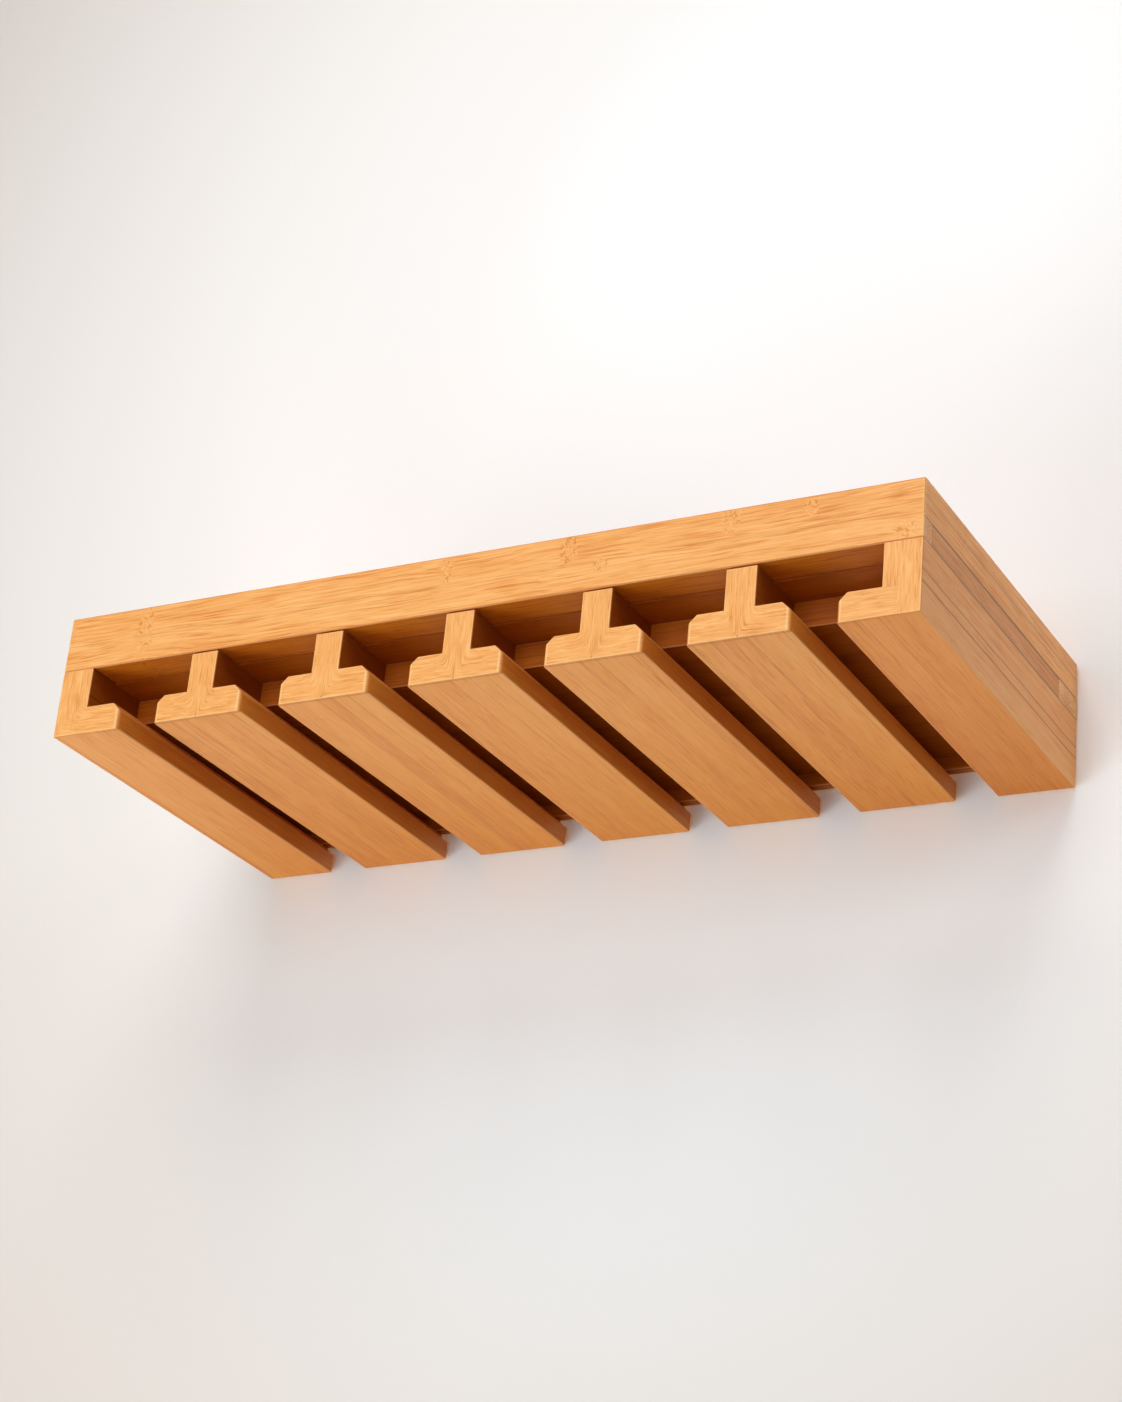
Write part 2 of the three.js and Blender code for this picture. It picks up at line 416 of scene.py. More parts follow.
class ShaderGraph:
    """The nodes of a material or a world, added by type with their settings and inputs."""

    def __init__(self, owner: Union[bpy.types.Material, bpy.types.World]) -> None:
        """Starts the graph without nodes.

        Args:
            owner: The material or the world that it belongs to.
        """
        self.owner = owner
        owner.use_nodes = True
        self.tree = owner.node_tree
        self.tree.nodes.clear()

    def node(self, kind: str, settings: dict, inputs: dict) -> bpy.types.Node:
        """Any node.

        Args:
            kind: The node's type.
            settings: Its own properties, set first. A ramp's stops are given as stops.
            inputs: Values, signals or sockets by input name or number.

        Returns:
            The node.
        """
        node = self.tree.nodes.new(kind)
        for name, value in settings.items():
            if name == "stops":
                self._set_stops(node, value)
            else:
                setattr(node, name, value)
        for name, value in inputs.items():
            if isinstance(value, Signal):
                self.tree.links.new(value.socket, node.inputs[name])
            elif isinstance(value, bpy.types.NodeSocket):
                self.tree.links.new(value, node.inputs[name])
            else:
                node.inputs[name].default_value = value
        return node

    @staticmethod
    def _set_stops(node: bpy.types.Node, stops: Sequence[tuple[float, Colour]]) -> None:
        """Gives a colour ramp its stops.

        Args:
            node: The ramp.
            stops: The places and colours of its stops.
        """
        elements = node.color_ramp.elements
        while len(elements) < len(stops):
            elements.new(0.5)
        for element, (position, colour) in zip(elements, stops):
            element.position = position
            element.color = (*colour, 1.0)

    def signal(self, kind: str, settings: dict, inputs: dict, output: Union[str, int] = 0) -> Signal:
        """Any node, as the signal of one of its outputs."""
        return Signal(self, self.node(kind, settings, inputs).outputs[output])

    def attribute(self, name: str, output: str) -> bpy.types.NodeSocket:
        """An attribute that a board's mesh stores."""
        return self.node("ShaderNodeAttribute", {"attribute_name": name}, {}).outputs[output]

    def split(self, vector: bpy.types.NodeSocket) -> tuple[Signal, Signal, Signal]:
        """The three values of a vector."""
        outputs = self.node("ShaderNodeSeparateXYZ", {}, {"Vector": vector}).outputs
        return Signal(self, outputs[0]), Signal(self, outputs[1]), Signal(self, outputs[2])

    def vector(self, x: Number, y: Number, z: Number) -> Signal:
        """Three values as a vector."""
        return self.signal("ShaderNodeCombineXYZ", {}, {"X": x, "Y": y, "Z": z})

    def noise(self, vector: Signal, detail: float = 2.0, distortion: float = 0.0) -> Signal:
        """Smooth noise of 0 to 1, one lump for each unit of the vector."""
        inputs = {"Vector": vector, "Scale": 1.0, "Detail": detail, "Distortion": distortion}
        return self.signal("ShaderNodeTexNoise", {}, inputs)

    def chance(self, vector: Signal) -> Signal:
        """A value of 0 to 1 that each whole place has for itself."""
        return self.signal("ShaderNodeTexWhiteNoise", {}, {"Vector": vector}, "Value")

    def ramp(self, value: Signal, stops: Sequence[tuple[float, Colour]]) -> Signal:
        """A colour looked up by a value."""
        return self.signal("ShaderNodeValToRGB", {"stops": stops}, {"Fac": value})

    def tones(self, value: Signal, wood: Sequence[Colour]) -> Signal:
        """A wood's colour where its fibres have a value."""
        return self.ramp(value, tuple(zip(TONE_STOPS, wood)))

    def mix(self, share: Number, first: Union[Signal, Colour], second: Union[Signal, Colour]) -> Signal:
        """One colour mixed into another.

        Args:
            share: How much of the second colour shows.
            first: The first colour.
            second: The second colour.

        Returns:
            The mixed colour.
        """
        colours = [value if isinstance(value, Signal) else (*value, 1.0) for value in (first, second)]
        node = self.node("ShaderNodeMix", {"data_type": "RGBA"}, {0: share, 6: colours[0], 7: colours[1]})
        return Signal(self, node.outputs[2])

    def multiplied(self, first: Union[Signal, Colour], second: Signal) -> Signal:
        """One colour multiplied by another."""
        node = self.node("ShaderNodeVectorMath", {"operation": "MULTIPLY"}, {0: first, 1: second})
        return Signal(self, node.outputs[0])

    def shaded(self, colour: Union[Signal, Colour], level: Signal) -> Signal:
        """A colour made lighter or darker by a value."""
        return self.multiplied(colour, self.vector(level, level, level))

    def finished(
        self, shader: bpy.types.NodeSocket, output: str = "ShaderNodeOutputMaterial"
    ) -> Union[bpy.types.Material, bpy.types.World]:
        """The finished material, or the world."""
        self.node(output, {}, {"Surface": shader})
        return self.owner


@dataclass(frozen=True)
class CaneJoint:
    """A joint of the cane that shows on a board: its middle, and how far it spreads each way."""

    along: float
    across: float
    reach: float
    spread: float


@dataclass(frozen=True)
class FibreLayer:
    """One layer of fibres in the wood.

    Attributes:
        along: Lumps to the metre along the grain.
        across: Lumps to the metre across it.
        number: What sets its noise apart from that of other layers.
        weight: How much it adds.
        cut: The levels of the noise at which a fibre starts and is full, or None where plain noise counts.
    """

    along: float
    across: float
    number: float
    weight: float
    cut: Optional[Span] = None

    def value(self, noise: Signal) -> Signal:
        """What the layer adds where its noise has a value."""
        return ((noise - 0.5) if self.cut is None else noise.rise(*self.cut)) * self.weight


@dataclass(frozen=True)
class Grain:
    """Where a point lies in its board's grain, and which way its face looks."""

    graph: ShaderGraph
    along: Signal
    across: Signal
    through: Signal
    seed: Signal
    # How much the point lies on an arris' painted highlight and on its painted shade
    pale_arris: Signal
    brown_arris: Signal
    end_on: Signal
    side_on: Signal
    flat_on: Signal
    down_on: Signal
    open_on: Signal

    @classmethod
    def read(cls, graph: ShaderGraph, run: Run) -> "Grain":
        """Reads what the board's mesh stores, and its faces' directions.

        Args:
            graph: The finish's nodes.
            run: The way that the grain runs.

        Returns:
            The place and the directions, as signals.
        """
        along, across, through = graph.split(graph.attribute("grain", "Vector"))
        pale, brown, _ = graph.split(graph.attribute("arris", "Vector"))
        facing = graph.split(graph.node("ShaderNodeTexCoord", {}, {}).outputs["Normal"])
        length_axis, width_axis, height_axis = run.value
        return cls(
            graph=graph,
            along=along,
            across=across,
            through=through,
            seed=Signal(graph, graph.attribute("seed", "Fac")),
            pale_arris=pale,
            brown_arris=brown,
            end_on=abs(facing[length_axis]).rise(*FACING),
            side_on=abs(facing[width_axis]).rise(*FACING),
            flat_on=abs(facing[height_axis]).rise(*FACING),
            down_on=facing[2].rise(-FACING[0], -FACING[1]),
            open_on=facing[1].most(facing[2]).most(abs(facing[length_axis])).rise(*FACING),
        )

    def fibres(self, layer: FibreLayer, sway: Number = 0.0) -> Signal:
        """A layer of straight fibres.

        Args:
            layer: Its scale, number and weight.
            sway: How far its fibres are pushed aside.

        Returns:
            What it adds.
        """
        aside = (self.across + sway) * layer.across
        deep = (self.through + sway) * layer.across + self.seed * SEED_STRIDE + layer.number
        return layer.value(self.graph.noise(self.graph.vector(self.along * layer.along, aside, deep), 1.0))


# How far the straight fibres are pushed aside, and the broad figure under them
SWAY = FibreLayer(11, 35, 0.0, 0.006)
FIGURE = FibreLayer(45, 70, 5.0, 0.3)
# The fibres along a board: broad pale and dark ones, fine dark ones, and fine pale ones
STRAIGHT_FIBRES = (
    FibreLayer(7, 95, 3.0, 0.5),
    FibreLayer(18, 640, 7.0, -0.24, (0.55, 0.63)),
    FibreLayer(34, 1100, 11.0, -0.26, (0.53, 0.61)),
    FibreLayer(20, 760, 13.0, 0.24, (0.54, 0.62)),
)
# The same on a rail's front
BENT_FIBRES = (
    FibreLayer(27.5, 160, 0.0, 0.35),
    FibreLayer(55, 850, 5.0, -0.17, (0.56, 0.64)),
    FibreLayer(88, 1500, 9.0, -0.13, (0.53, 0.61)),
    FibreLayer(55, 900, 13.0, 0.22, (0.53, 0.61)),
)


@dataclass(frozen=True)
class Seam:
    """A glue line along the grain: its place across the face that it shows on, and how dark it is."""

    place: float
    strength: float

    def shown(self, place: Signal, reach: Span) -> Signal:
        """How much of it shows at a place, where it starts and is full at two distances from its middle."""
        return abs(place - self.place).rise(*reach) * self.strength


@dataclass(frozen=True)
class Strips:
    """The strips that a board is glued up from.

    Attributes:
        width: A strip's width across the grain.
        height: Its height through the board.
        contrast: How much one strip's tone differs from the next one's.
        line_strength: How dark the glue lines are.
        line_width: Half the width of a glue line between strips.
        line_breaks: Lumps to the metre of the breaks in such a line.
        flat_seams: Glue lines on the faces that look through the board.
        side_seams: Glue lines on the faces that look across it.
        flat_reach: The distances from a flat seam at which it starts and is full.
        side_reach: The same for a side seam.
        fade_span: The places along the grain between which the lines on flat faces fade, where they do.
        fade_left: What is left of them there.
    """

    width: float = 0.0115
    height: float = 0.019
    contrast: float = 0.3
    line_strength: float = 0.5
    line_width: float = 0.0004
    line_breaks: float = 35.0
    flat_seams: tuple[Seam, ...] = ()
    side_seams: tuple[Seam, ...] = ()
    flat_reach: Span = (0.0005, 0.0001)
    side_reach: Span = (0.0008, 0.0003)
    fade_span: Optional[Span] = None
    fade_left: float = 0.4

    def column(self, grain: Grain) -> Signal:
        """Which strip a point lies in across the grain, counted in strips."""
        return grain.across / self.width + grain.seed * 3.7

    def tone(self, grain: Grain) -> Signal:
        """The tone of each strip, about 0.

        Args:
            grain: Where the point lies.

        Returns:
            The tone.
        """
        graph = grain.graph
        row = grain.through / self.height + grain.seed * 1.9
        return graph.chance(graph.vector(self.column(grain).floor(), row.floor(), grain.seed)) - 0.5

    def lines(self, grain: Grain) -> Signal:
        """The glue lines, from 0 to 1.

        Args:
            grain: Where the point lies.

        Returns:
            The lines.
        """
        graph = grain.graph
        column = self.column(grain)
        edge = abs(column.fraction() - 0.5).rise(0.5 - self.line_width / self.width, 0.5)
        strength = graph.chance(graph.vector((column + 0.5).floor(), 5.5, grain.seed)).rise(0.3, 0.9)
        lines = edge * strength * grain.flat_on
        for seam in self.flat_seams:
            lines = lines.most(seam.shown(grain.across, self.flat_reach) * grain.flat_on)
        breaks = graph.noise(graph.vector(grain.along * self.line_breaks, column, grain.seed))
        lines = lines * breaks.rise(0.3, 0.55)
        if self.fade_span:
            lines = lines * grain.along.rise(*self.fade_span).most(self.fade_left)
        for seam in self.side_seams:
            lines = lines.most(seam.shown(grain.through, self.side_reach) * grain.side_on)
        return lines


# Painted shade: faces are darkened by the way they look, standing in for the light that reaches them
@dataclass(frozen=True)
class Shades:
    """What the wood's colour is multiplied by on the faces that look different ways.

    Attributes:
        side: On the faces that look across the board: partly the wood's own darker tone there, partly painted
            shade.
        end: On its ends: partly the end grain's own tone, partly painted shade.
        under: On its underside: painted shade.
        rear: On its underside at the back of the rack, where that differs: painted shade that deepens towards
            the back.
        outer: On the rack's outer sides, where they differ: painted shade.
        deep: On a rail's sides above its foot, where they differ: painted shade inside the channels.
        lip: On a batten's front, which reaches below the front bar as a thin lip: painted shade.
        rear_span: The places along the grain between which the underside's shade changes.
        outer_span: The distances from a rail's outer side at which its shade starts and is full.
        deep_span: The levels between which a rail's sides get their deep shade.
        lip_span: The places in Y between which a lip starts.
        lip_levels: The levels at which it starts and is full.
    """

    side: Colour = WHITE
    end: Colour = WHITE
    under: Colour = WHITE
    rear: Optional[Colour] = None
    outer: Optional[Colour] = None
    deep: Optional[Colour] = None
    lip: Optional[Colour] = None
    rear_span: Span = (-0.13, 0.13)
    outer_span: Span = (0.002, 0.001)
    deep_span: Span = (0.017, 0.022)
    lip_span: Span = (-0.09, -0.1)
    lip_levels: Span = (0.0452, 0.0453)

    def at(self, grain: Grain) -> Signal:
        """The painted shade of the face that a point lies on.

        Args:
            grain: Where the point lies.

        Returns:
            The shade.
        """
        graph = grain.graph
        under, side = self.under, self.side
        if self.rear:
            under = graph.mix(grain.along.rise(*self.rear_span), under, self.rear)
        if self.deep:
            side = graph.mix(grain.through.rise(*self.deep_span), side, self.deep)
        if self.outer:
            side = graph.mix(abs(grain.across).rise(*self.outer_span), side, self.outer)
        shade = graph.mix(grain.side_on, WHITE, side)
        shade = graph.mix(grain.down_on, shade, under)
        if self.lip:
            on_lip = grain.across.rise(*self.lip_levels) * grain.through.rise(*self.lip_span) * grain.flat_on
            shade = graph.mix(on_lip, shade, self.lip)
        return graph.mix(grain.end_on, shade, self.end)


@dataclass(frozen=True)
class FoldedGrain:
    """The grain of a rail's front, upright in its stem and bending out into its foot.

    Attributes:
        width: Width of the rail's stem or upright on each side of the fold.
        height: Height of its foot.
        lumps: Lumps to the metre of the noise that pushes the fibres aside.
        sway: How far it pushes them.
    """

    width: float
    height: float = 0.019
    lumps: float = 70.0
    sway: float = 0.0014

    def read(self, grain: Grain) -> tuple[Signal, Signal]:
        """The fibres of a front and its middle line.

        A line of the grain keeps t = (x^-4 + z^-4)^(-1/4), where x and z are the distances from the fold as
        shares of the stem's and the foot's thickness.

        Args:
            grain: Where the point lies.

        Returns:
            The fibres, about 0.5, and the line where the two halves of a rail meet, from 0 to 1.
        """
        graph = grain.graph
        across, _, height = graph.split(graph.attribute("fold", "Vector"))
        aside, side = abs(across), across.math("SIGN")
        place = graph.vector(across * self.lumps, height * self.lumps, grain.seed * 7)
        sway = (graph.noise(place, 1.0) - 0.5) * self.sway
        x = ((aside + sway) / self.width).most(0.01)
        z = ((height + sway) / self.height).most(0.01)
        level = (x**-4.0 + z**-4.0) ** -0.25 * ((self.width + self.height) / 2)
        course = aside - height
        seed = grain.seed * 3 + side
        fibres = 0.54
        for layer in BENT_FIBRES:
            place = graph.vector(level * layer.across, course * layer.along, seed + layer.number)
            fibres = fibres + layer.value(graph.noise(place, 1.0))
        meeting = aside.rise(0.0005, 0.0001) * height.rise(0.016, 0.002) * 0.6
        return fibres, meeting.most(aside.rise(0.0008, 0.0003) * height.rise(0.002, 0.001))


@dataclass(frozen=True)
class Bamboo:
    """Laminated bamboo: strips of slightly different tone, fine fibres, and the joints of the cane.

    Attributes:
        name: The material's name.
        wood: Colours of its darkest fibres, of most of it and of its palest fibres.
        run: The way that the grain runs.
        open_wood: Where the colours above hold painted shade, the wood's own colours, on its ends and on
            faces that look up or back.
        pale: Colour of the painted highlight on the arrises, where light would catch them.
        brown: Colour of the painted shade on their far halves.
        arris_share: How strongly that painted highlight and painted shade show.
        strips: The strips that it is glued up from.
        shades: The painted shade of its faces.
        folded: How the grain of a rail's front bends, where it does.
        end_tone: How much of their tone the strips lose on such a front.
        fibre_contrast: How strongly the fibres show.
        calm: How much weaker they are away from the ends.
        joint_spacing: Distance between the joints of the cane along a strip.
        joint_reach: How far such a joint spreads along the grain.
        joints: Joints at places of their own, in place of the spaced ones.
        curl_scale: Lumps to the metre of the curly fibres at those joints.
        roughness: Roughness of the wood where no fibre shows.
        fibre_gloss: How much smoother its fibres are.
        relief: How far they stand out.
    """

    name: str
    wood: tuple[Colour, Colour, Colour]
    run: Run
    open_wood: Optional[tuple[Colour, Colour, Colour]] = None
    # Colours of the painted highlight on the arrises and of the painted shade beyond it
    pale: Colour = linear(255, 210, 142)
    brown: Colour = linear(198, 108, 38)
    arris_share: float = 0.6
    strips: Strips = Strips()
    shades: Shades = Shades()
    folded: Optional[FoldedGrain] = None
    end_tone: float = 0.6
    fibre_contrast: float = 1.0
    calm: float = 0.0
    joint_spacing: float = 0.21
    joint_reach: float = 0.005
    joints: tuple[CaneJoint, ...] = ()
    curl_scale: float = 330.0
    roughness: float = 0.5
    fibre_gloss: float = 0.12
    relief: float = 0.0003

    def material(self) -> bpy.types.Material:
        """The finish as a Blender material.

        Returns:
            The material.
        """
        graph = ShaderGraph(bpy.data.materials.new(self.name))
        grain = Grain.read(graph, self.run)
        fibre = self._fibres(grain, self._joints(grain))
        tone = self.strips.tone(grain)
        line = self.strips.lines(grain)
        if self.folded:
            bent, fold_line = self.folded.read(grain)
            fibre = fibre + (bent - fibre) * grain.end_on
            tone = tone * (1 - self.end_tone * grain.end_on)
            line = line + (fold_line - line) * grain.end_on
        contrast = self.fibre_contrast * (1 - self.calm * (1 - grain.end_on))
        value = 0.5 + (fibre - 0.5) * contrast + tone * self.strips.contrast
        # Painted shade by the way each face looks
        colour = graph.multiplied(graph.tones(value, self.wood), self.shades.at(grain))
        # Faces that look up or back keep the wood's own colours, without the painted shade
        if self.open_wood:
            colour = graph.mix(grain.open_on, colour, graph.tones(value, self.open_wood))
        colour = graph.shaded(colour, 1 - line * self.strips.line_strength)
        # Painted highlight and painted shade on the arrises
        colour = graph.mix(grain.pale_arris * self.arris_share, colour, self.pale)
        colour = graph.mix(grain.brown_arris * self.arris_share, colour, self.brown)
        bump_inputs = {"Strength": 0.3, "Distance": self.relief, "Height": fibre * 0.7 - line}
        bump = graph.node("ShaderNodeBump", {}, bump_inputs)
        inputs = {
            "Base Color": colour,
            "Roughness": self.roughness - fibre * self.fibre_gloss,
            "IOR": 1.45,
            "Specular IOR Level": 0.35,
            "Normal": bump.outputs["Normal"],
        }
        shader = graph.node("ShaderNodeBsdfPrincipled", {}, inputs)
        return graph.finished(shader.outputs["BSDF"])

    def _joints(self, grain: Grain) -> Signal:
        """Where the joints of the cane lie, from 0 away from them to 1 in their middle.

        Args:
            grain: Where the point lies.

        Returns:
            How much of a joint shows.
        """
        graph = grain.graph
        if self.joints:
            found = None
            for joint in self.joints:
                far = ((grain.along - joint.along) / joint.reach) ** 2.0
                aside = ((grain.across - joint.across) / joint.spread) ** 2.0
                near = (far + aside).rise(1.0, 0.3)
                found = near if found is None else found.most(near)
            return found
        strip = (grain.across / (self.strips.width * 1.5) + grain.seed * 2.3).floor()
        start = graph.chance(graph.vector(strip, grain.seed, 9.1))
        shown = graph.chance(graph.vector(strip, grain.seed, 4.7)).rise(0.45, 0.5)
        place = (grain.along / self.joint_spacing + start).fraction() - 0.5
        return abs(place).rise(self.joint_reach / self.joint_spacing, 0.0) * shown * 0.8

    def _fibres(self, grain: Grain, joint: Signal) -> Signal:
        """Fibres along the grain, with short curly ones at the joints of the cane.

        Args:
            grain: Where the point lies.
            joint: Where the joints of the cane lie.

        Returns:
            The fibres, about 0.5.
        """
        graph = grain.graph
        sway = grain.fibres(SWAY)
        straight = 0.58 + grain.fibres(FIGURE)
        for layer in STRAIGHT_FIBRES:
            straight = straight + grain.fibres(layer, sway)
        places = [value * self.curl_scale for value in (grain.along, grain.across, grain.through)]
        curl = graph.noise(graph.vector(places[0], places[1], places[2] + grain.seed), 1.0, 1.2)
        bright = abs(curl - 0.5).rise(0.05, 0.0)
        curly = 0.45 + bright * 0.55 - curl.rise(0.55, 0.65) * 0.45
        return straight + (curly - straight) * joint * 0.8


@dataclass(frozen=True)
class PlatedSteel:
    """Zinc-plated steel with faint turning marks."""

    name: str = "plated_steel"
    colour: Colour = linear(196, 198, 202)
    roughness: float = 0.32
    marks_across: float = 900.0
    marks_along: float = 2500.0

    def material(self) -> bpy.types.Material:
        """The finish as a Blender material.

        Returns:
            The material.
        """
        graph = ShaderGraph(bpy.data.materials.new(self.name))
        place = graph.node("ShaderNodeTexCoord", {}, {}).outputs["Object"]
        x, y, z = graph.split(place)
        marks = graph.noise(graph.vector(x * self.marks_across, y * self.marks_across, z * self.marks_along))
        inputs = {
            "Base Color": graph.shaded(self.colour, 0.85 + marks * 0.3),
            "Metallic": 1.0,
            "Roughness": self.roughness + (marks - 0.5) * 0.2,
        }
        shader = graph.node("ShaderNodeBsdfPrincipled", {}, inputs)
        return graph.finished(shader.outputs["BSDF"])


BAR = Bamboo(
    name="bar_bamboo",
    wood=(linear(214, 128, 52), linear(242, 170, 95), linear(253, 196, 126)),
    run=Run.ALONG_RACK,
    strips=Strips(width=0.0205, line_strength=0.35, flat_seams=(Seam(0.064, 0.5),)),
    # Painted shade on its underside, and on its ends partly painted shade, partly the end grain's own tone
    shades=Shades(under=(0.63, 0.39, 0.06), end=(0.80, 0.78, 0.86)),
    fibre_contrast=0.8,
    joints=(
        CaneJoint(-0.239, 0.064, 0.008, 0.030),
        CaneJoint(-0.013, 0.074, 0.006, 0.013),
        CaneJoint(0.072, 0.075, 0.007, 0.014),
        CaneJoint(0.094, 0.062, 0.006, 0.006),
        CaneJoint(0.179, 0.079, 0.008, 0.013),
        CaneJoint(0.230, 0.077, 0.006, 0.007),
        CaneJoint(0.289, 0.053, 0.010, 0.007),
    ),
)
REAR = replace(BAR, name="rear_bamboo", joints=(), strips=replace(BAR.strips, flat_seams=()))
# Its colours are painted shade, dark where faces look down or forward into the rack's shadow; its open
# colours are the wood's own
INNER = Bamboo(
    name="inner_bamboo",
    wood=(linear(148, 67, 2), linear(183, 95, 4), linear(205, 116, 11)),
    run=Run.ALONG_RACK,
    open_wood=(linear(196, 126, 66), linear(222, 158, 96), linear(236, 178, 116)),
    shades=Shades(under=(0.86, 0.88, 0.5), lip=(0.66, 0.62, 0.5)),
    calm=0.5,
)
TEE = Bamboo(
    name="tee_bamboo",
    wood=(linear(208, 124, 54), linear(242, 170, 95), linear(253, 196, 126)),
    run=Run.FRONT_TO_BACK,
    strips=Strips(contrast=0.22, fade_span=(0.06, -0.12)),
    # Painted shade: on the sides facing into the slots, on the undersides, deeper towards the back, and
    # deepest inside the channels
    shades=Shades(
        side=(0.80, 0.57, 0.24),
        under=(1.0, 0.89, 0.67),
        rear=(0.88, 0.66, 0.22),
        deep=(0.34, 0.18, 0.03),
    ),
    folded=FoldedGrain(0.010),
    calm=0.6,
)
END = replace(
    TEE,
    name="end_rail_bamboo",
    strips=replace(TEE.strips, side_seams=(Seam(0.0195, 0.9), Seam(0.027, 0.8), Seam(0.0463, 0.9))),
    # Painted shade on the rack's outer sides
    shades=replace(TEE.shades, outer=(0.85, 0.76, 0.69)),
    folded=FoldedGrain(0.024),
)
# The right end rail, with deeper painted shade on its undersides, where less light falls
RIGHT_END = replace(
    END,
    name="right_end_rail_bamboo",
    shades=replace(END.shades, under=(0.97, 0.78, 0.50), rear=(0.80, 0.55, 0.19)),
)
SIDE_RAIL = Bamboo(
    name="side_rail_bamboo",
    wood=(linear(201, 120, 52), linear(233, 160, 85), linear(248, 181, 106)),
    run=Run.FRONT_TO_BACK,
    strips=Strips(line_strength=0.7, side_seams=(Seam(0.0735, 0.4), Seam(0.0602, 0.9))),
    calm=0.4,
)
SIDE_STRIP = Bamboo(
    name="side_strip_bamboo",
    wood=(linear(174, 100, 40), linear(208, 134, 67), linear(225, 154, 87)),
    run=Run.FRONT_TO_BACK,
    strips=Strips(contrast=0.12, line_strength=0.7, side_seams=(Seam(0.0467, 0.9), Seam(0.0598, 0.9))),
    calm=0.4,
    joint_spacing=0.6,
)


@dataclass(frozen=True)
class Dress:
    """How a piece is finished.

    Attributes:
        finish: Its finish.
        seed: The board's own number, which shifts its grain.
        centre: Where its grain coordinates start, by X, Y and Z.
        fold: Where its front's grain bends, by X, Y and Z.
    """

    finish: Union[Bamboo, PlatedSteel]
    seed: float = 0.0
    centre: Sequence[float] = ORIGIN
    fold: Sequence[float] = ORIGIN


@dataclass
class Workshop:
    """Turns surfaces into finished pieces that stand for the solids they are named after."""

    materials: dict[str, bpy.types.Material] = field(default_factory=dict)
    smooth_angle: float = math.radians(38)
    bevel_segments: int = 3
    flat_weight: int = 90

    def finish(self, finish: Union[Bamboo, PlatedSteel]) -> bpy.types.Material:
        """A finish's material, made once.

        Args:
            finish: The finish.

        Returns:
            Its material.
        """
        if finish.name not in self.materials:
            self.materials[finish.name] = finish.material()
        return self.materials[finish.name]

    def piece(self, node: str, slot: str, surface: Surface, dress: Dress) -> bpy.types.Object:
        """A surface as a finished piece in place of a solid.

        Args:
            node: The solid's name.
            slot: The record's material slot, which is not used.
            surface: The piece's surface.
            dress: How it is finished.

        Returns:
            The new object.
        """
        mesh = bpy.data.meshes.new(f"{node}_mesh")
        mesh.from_pydata(surface.points, [], surface.faces)
        if isinstance(dress.finish, Bamboo):
            # The arrises' painted highlight and painted shade, kept to the four-sided faces
            sizes = np.array([len(face) for face in surface.faces])
            arris = surface.arris[np.concatenate(surface.faces)] * (np.repeat(sizes, sizes) == 4)[:, None]
            self._store(mesh, "arris", "CORNER", arris)
        mesh.validate()
        mesh.shade_smooth()
        mesh.set_sharp_from_angle(angle=self.smooth_angle)
        return self.dressed(node, slot, mesh, dress)

    def dressed(
        self, node: str, slot: str, mesh: bpy.types.Mesh, dress: Dress, bevel: float = 0.0
    ) -> bpy.types.Object:
        """A mesh as a finished piece in place of a solid.

        Args:
            node: The solid's name.
            slot: The record's material slot, which is not used.
            mesh: The piece's mesh.
            dress: How it is finished.
            bevel: Width of the bevel on its weighted edges, or 0 for none.

        Returns:
            The new object.
        """
        if isinstance(dress.finish, Bamboo):
            self._store_grain(mesh, dress)
        obj = placed(f"finished_{node}", mesh)
        if bevel:
            eased = obj.modifiers.new("Eased arrises", "BEVEL")
            eased.limit_method = "WEIGHT"
            eased.width = bevel
            eased.segments = self.bevel_segments
        weighted = obj.modifiers.new("Face weighted shading", "WEIGHTED_NORMAL")
        weighted.keep_sharp = True
        weighted.weight = self.flat_weight
        mesh.materials.append(self.finish(dress.finish))
        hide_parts(node)
        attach(obj, "root")
        log.info("%s: %d points", obj.name, len(mesh.vertices))
        return obj

    @staticmethod
    def _store(mesh: bpy.types.Mesh, name: str, domain: str, values: np.ndarray) -> None:
        """Stores a value or a vector for each point or corner of a mesh."""
        kind, field_name = ("FLOAT", "value") if values.ndim == 1 else ("FLOAT_VECTOR", "vector")
        mesh.attributes.new(name, kind, domain).data.foreach_set(field_name, values.ravel())

    def _store_grain(self, mesh: bpy.types.Mesh, dress: Dress) -> None:
        """Stores each point's place in the grain, its place from the fold, and the board's own number.

        Args:
            mesh: The board's mesh.
            dress: How the board is finished.
        """
        places = np.empty(len(mesh.vertices) * 3)
        mesh.vertices.foreach_get("co", places)
        points = places.reshape(-1, 3)
        grain = points - np.array(dress.centre)
        self._store(mesh, "grain", "POINT", grain[:, list(dress.finish.run.value)])
        self._store(mesh, "seed", "POINT", np.full(len(points), dress.seed))
        if dress.finish.folded:
            self._store(mesh, "fold", "POINT", points - np.array(dress.fold))


@dataclass
class Rails:
    """What all rails share: how their corners are cut and eased."""

    workshop: Workshop
    chamfer: float = 0.006
    arris: float = 0.0011
    shoulder: float = 0.0008
    front_corner: float = 0.0032


